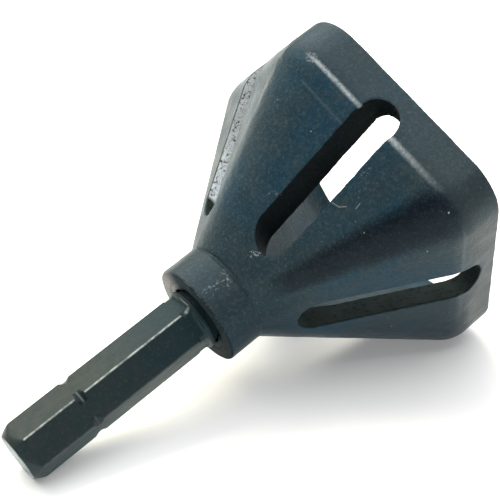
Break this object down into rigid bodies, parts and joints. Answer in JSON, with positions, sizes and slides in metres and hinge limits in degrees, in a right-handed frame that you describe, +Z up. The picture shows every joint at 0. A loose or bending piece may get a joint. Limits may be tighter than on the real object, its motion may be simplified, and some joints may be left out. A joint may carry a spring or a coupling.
{
  "type": "deburring tool",
  "caption": "Hollow five-sided pyramid head with a slanted cutting slot in each face, on a hex bit shank, for chamfering the outer edge of bolts and rods.",
  "frame": {"origin": "centre of the overall box, on the surface that the tool lies on", "axes": "+X from the shank towards the open mouth, +Y across, +Z up; the tool's own axis rises 17.66 degrees from +X towards +Z"},
  "size_m": [0.058, 0.0416, 0.0398],
  "materials": {
    "cutter_head": "matte black oxide over a fine cast grain",
    "hex_shank": "satin black oxide, worn bright on the edges"
  },
  "bodies": {
    "root": {"cutter_head": "cutter_head", "hex_shank": "hex_shank"}
  },
  "joints": []
}
